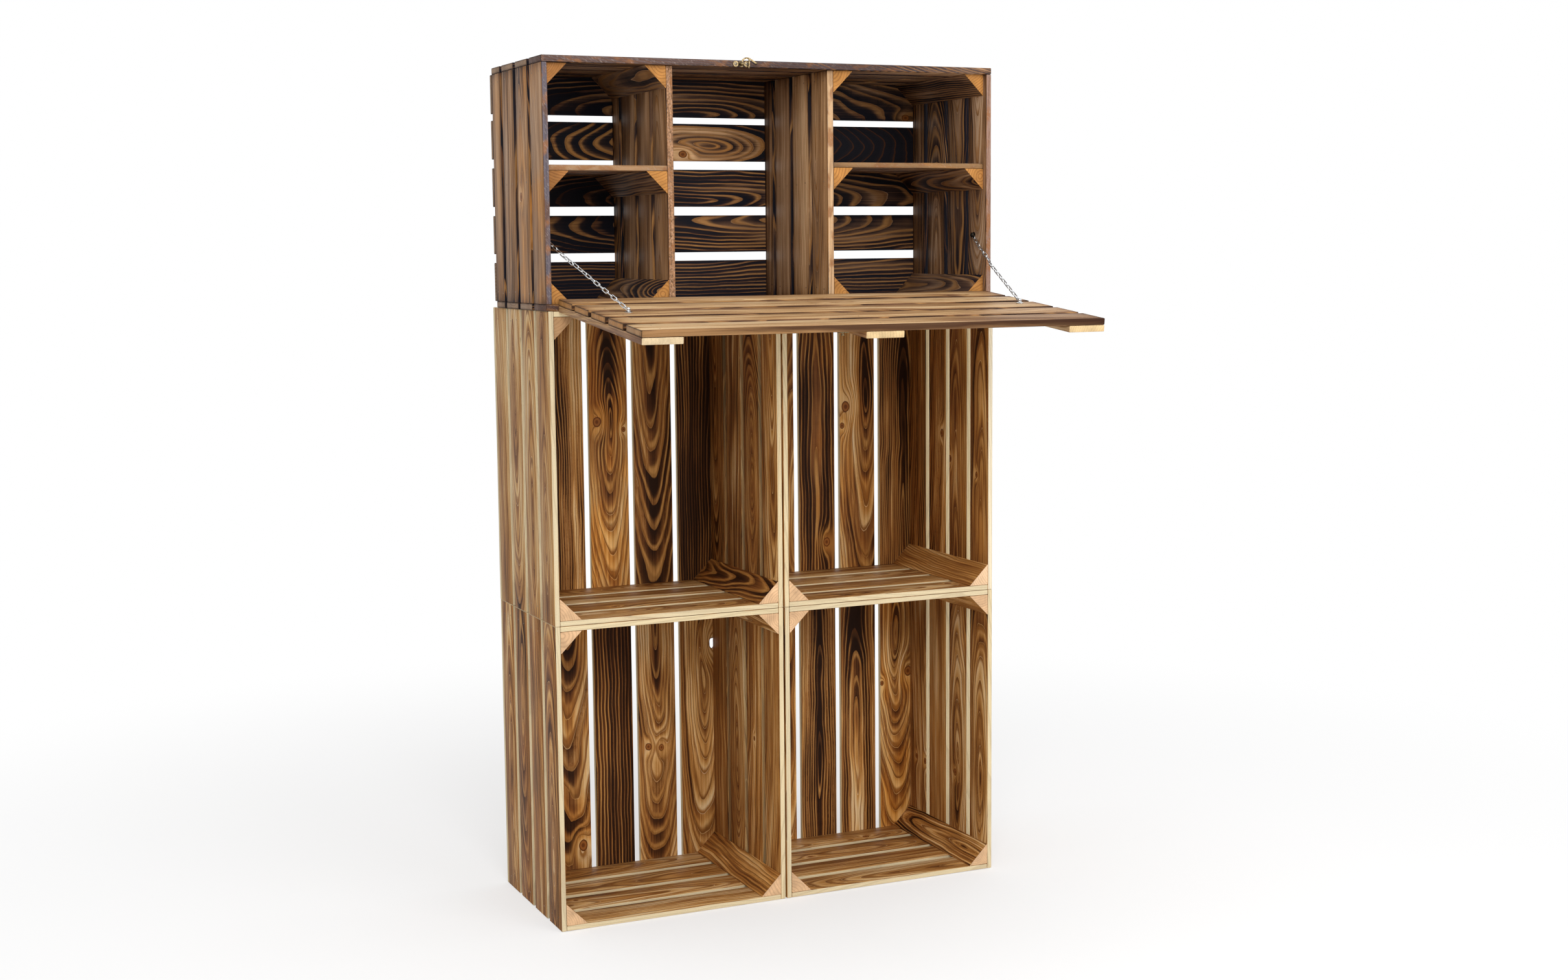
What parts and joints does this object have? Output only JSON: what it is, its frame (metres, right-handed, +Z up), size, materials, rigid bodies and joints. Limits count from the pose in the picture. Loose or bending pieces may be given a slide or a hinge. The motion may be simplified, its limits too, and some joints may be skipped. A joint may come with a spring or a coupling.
{
  "type": "bar cabinet with fold out shelf",
  "caption": "Bar cabinet of stacked slatted crates under a wide box with dividers, whose slatted front flap folds out into a shelf held by chains.",
  "frame": {"origin": "on the floor, at the centre of the four crates' footprint", "axes": "+X right as seen from the front, the front faces -Y, +Z up"},
  "size_m": [0.8008, 0.6702, 1.3994],
  "materials": {
    "crate_wood": "flamed and oiled softwood, cathedral grain, pale raw edges",
    "post_wood": "flamed sloped face, pale end grain",
    "box_wood": "heavily flamed softwood",
    "block_wood": "flamed sloped face, orange-tan end grain",
    "flap_wood": "lightly flamed softwood, burnt edges",
    "hinge_steel": "zinc-plated steel",
    "latch_brass": "antique brass",
    "chain_steel": "bright zinc",
    "dark_screws": "black oxide",
    "screw_steel": "zinc-plated steel"
  },
  "bodies": {
    "cabinet": {"lower_left_left_side": "crate_wood", "lower_left_right_side": "crate_wood", "lower_left_bottom_end": "crate_wood", "lower_left_top_end": "crate_wood", "lower_left_back_slats": "crate_wood", "lower_left_corner_posts": "post_wood", "lower_right_left_side": "crate_wood", "lower_right_right_side": "crate_wood", "lower_right_bottom_end": "crate_wood", "lower_right_top_end": "crate_wood", "lower_right_back_slats": "crate_wood", "lower_right_corner_posts": "post_wood", "upper_left_left_side": "crate_wood", "upper_left_right_side": "crate_wood", "upper_left_bottom_end": "crate_wood", "upper_left_top_end": "crate_wood", "upper_left_back_slats": "crate_wood", "upper_left_corner_posts": "post_wood", "upper_right_left_side": "crate_wood", "upper_right_right_side": "crate_wood", "upper_right_bottom_end": "crate_wood", "upper_right_top_end": "crate_wood", "upper_right_back_slats": "crate_wood", "upper_right_corner_posts": "post_wood", "box_bottom_boards": "box_wood", "box_top_boards": "box_wood", "box_left_side": "box_wood", "box_right_side": "box_wood", "left_divider": "box_wood", "right_divider": "box_wood", "box_back_boards": "box_wood", "left_shelf": "box_wood", "left_blocks": "block_wood", "right_shelf": "box_wood", "right_blocks": "block_wood", "hinge_box_leaves": "hinge_steel", "hinge_pins": "hinge_steel", "latch_plate": "latch_brass", "box_small_screws": "screw_steel", "joining_screws": "screw_steel", "chain_wall_screws": "dark_screws"},
    "flap": {"flap_board_1": "flap_wood", "flap_board_2": "flap_wood", "flap_board_3": "flap_wood", "flap_board_4": "flap_wood", "flap_board_5": "flap_wood", "flap_cleat_left": "flap_wood", "flap_cleat_middle": "flap_wood", "flap_cleat_right": "flap_wood", "flap_small_screws": "screw_steel", "hinge_flap_leaves": "hinge_steel", "latch_stud": "latch_brass", "chain_shelf_screws": "chain_steel"},
    "latch_hook": {"latch_hook": "latch_brass"},
    "left_chain_wall": {"left_chain_wall_part": "chain_steel"},
    "left_chain_middle": {"left_chain_middle_part": "chain_steel"},
    "left_chain_shelf": {"left_chain_flap_part": "chain_steel"},
    "right_chain_wall": {"right_chain_wall_part": "chain_steel"},
    "right_chain_middle": {"right_chain_middle_part": "chain_steel"},
    "right_chain_shelf": {"right_chain_flap_part": "chain_steel"}
  },
  "joints": [
    {"name": "flap_hinge", "type": "hinge", "parent": "cabinet", "child": "flap", "pos_m": [0, -0.1486, 1.0095], "axis": [-1, 0, 0], "range_deg": [0, 95.7]},
    {"name": "latch_turn", "type": "hinge", "parent": "cabinet", "child": "latch_hook", "pos_m": [-0.0665, -0.1491, 1.3888], "axis": [0, 1, 0], "range_deg": [0, 90]},
    {"name": "left_chain_wall_fold", "type": "hinge", "parent": "cabinet", "child": "left_chain_wall", "pos_m": [-0.3895, -0.11357, 1.11295], "axis": [1, 0, 0], "range_deg": [0, 70.13]},
    {"name": "left_chain_middle_fold", "type": "hinge", "parent": "left_chain_wall", "child": "left_chain_middle", "pos_m": [-0.38161, -0.14309, 1.09629], "axis": [-1, 0, 0], "range_deg": [0, 23.6]},
    {"name": "left_chain_shelf_fold", "type": "hinge", "parent": "flap", "child": "left_chain_shelf", "pos_m": [-0.33325, -0.31562, 1.00993], "axis": [-0.9718, -0.2241, -0.0729], "range_deg": [0, 15.88]},
    {"name": "right_chain_wall_fold", "type": "hinge", "parent": "cabinet", "child": "right_chain_wall", "pos_m": [0.3835, -0.10674, 1.11417], "axis": [1, 0, 0], "range_deg": [0, 99.05]},
    {"name": "right_chain_middle_fold", "type": "hinge", "parent": "right_chain_wall", "child": "right_chain_middle", "pos_m": [0.37915, -0.13593, 1.09573], "axis": [-1, 0, 0], "range_deg": [0, 75.05]},
    {"name": "right_chain_shelf_fold", "type": "hinge", "parent": "flap", "child": "right_chain_shelf", "pos_m": [0.35058, -0.31281, 1.01001], "axis": [-0.9908, 0.1292, 0.0402], "range_deg": [0, 14.77]}
  ],
  "couplings": [
    {"joint": "left_chain_wall_fold", "follows": "flap_hinge", "ratio": 0.73282},
    {"joint": "left_chain_middle_fold", "follows": "flap_hinge", "ratio": 0.2466},
    {"joint": "left_chain_shelf_fold", "follows": "flap_hinge", "ratio": 0.16593},
    {"joint": "right_chain_wall_fold", "follows": "flap_hinge", "ratio": 1.035},
    {"joint": "right_chain_middle_fold", "follows": "flap_hinge", "ratio": 0.78415},
    {"joint": "right_chain_shelf_fold", "follows": "flap_hinge", "ratio": 0.1543}
  ]
}
